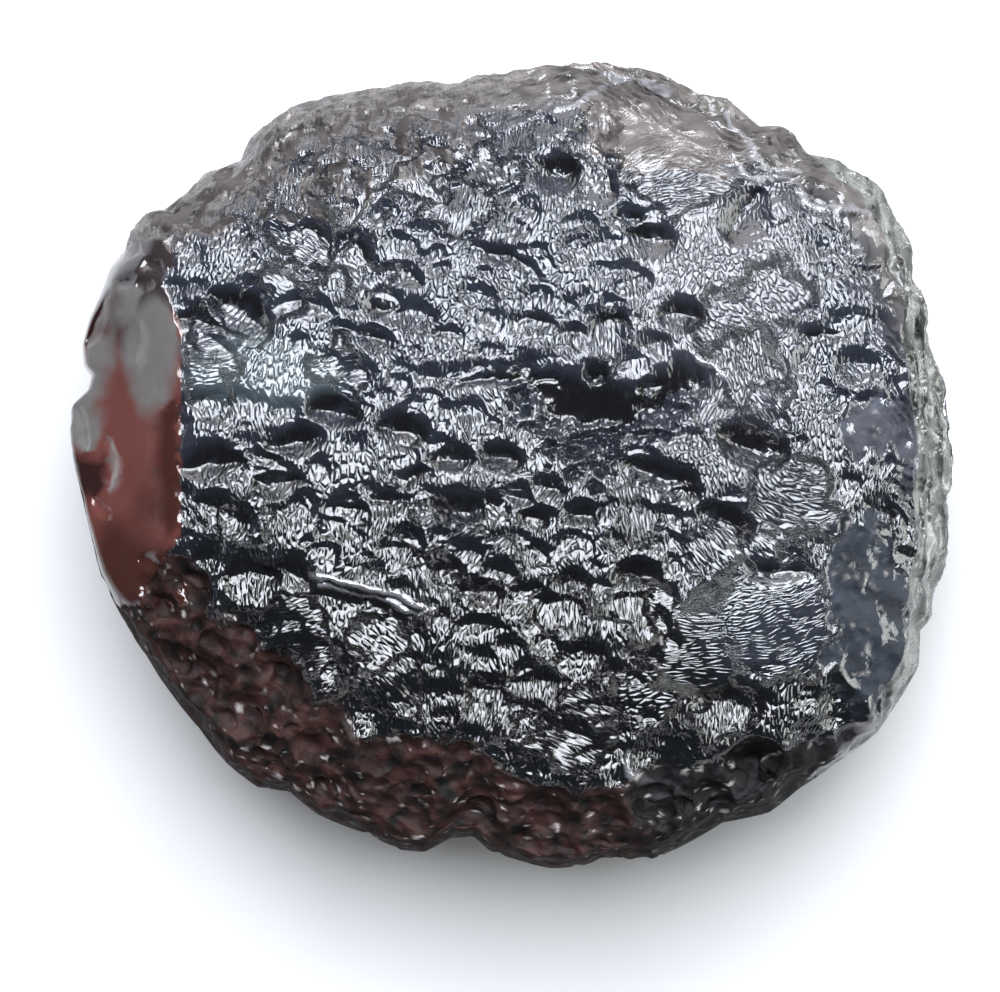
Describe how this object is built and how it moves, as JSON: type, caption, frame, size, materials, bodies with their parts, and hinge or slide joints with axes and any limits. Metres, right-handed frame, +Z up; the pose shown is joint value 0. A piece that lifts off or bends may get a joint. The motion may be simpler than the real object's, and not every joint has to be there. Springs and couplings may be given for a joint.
{
  "type": "tektite",
  "caption": "Rounded button-shaped stone of dark impact glass with a scooped and pitted face, a smooth chipped side and a rounded pitted back that rests on a small flat spot.",
  "frame": {"origin": "on the resting plane, under the middle of the stone's bounding box", "axes": "+X along the stone's longest side, to the right when the sculpted face is seen from above with the smooth chipped facet on the left; +Y towards the stone's upper edge in that view; +Z up, out of the sculpted face"},
  "size_m": [0.0458, 0.0416, 0.0164],
  "materials": {
    "tektite_glass": "very dark brown-black natural glass, silky striated sheen on the face, brown and see-through only at thin edges"
  },
  "bodies": {
    "root": {"tektite": "tektite_glass"}
  },
  "joints": []
}
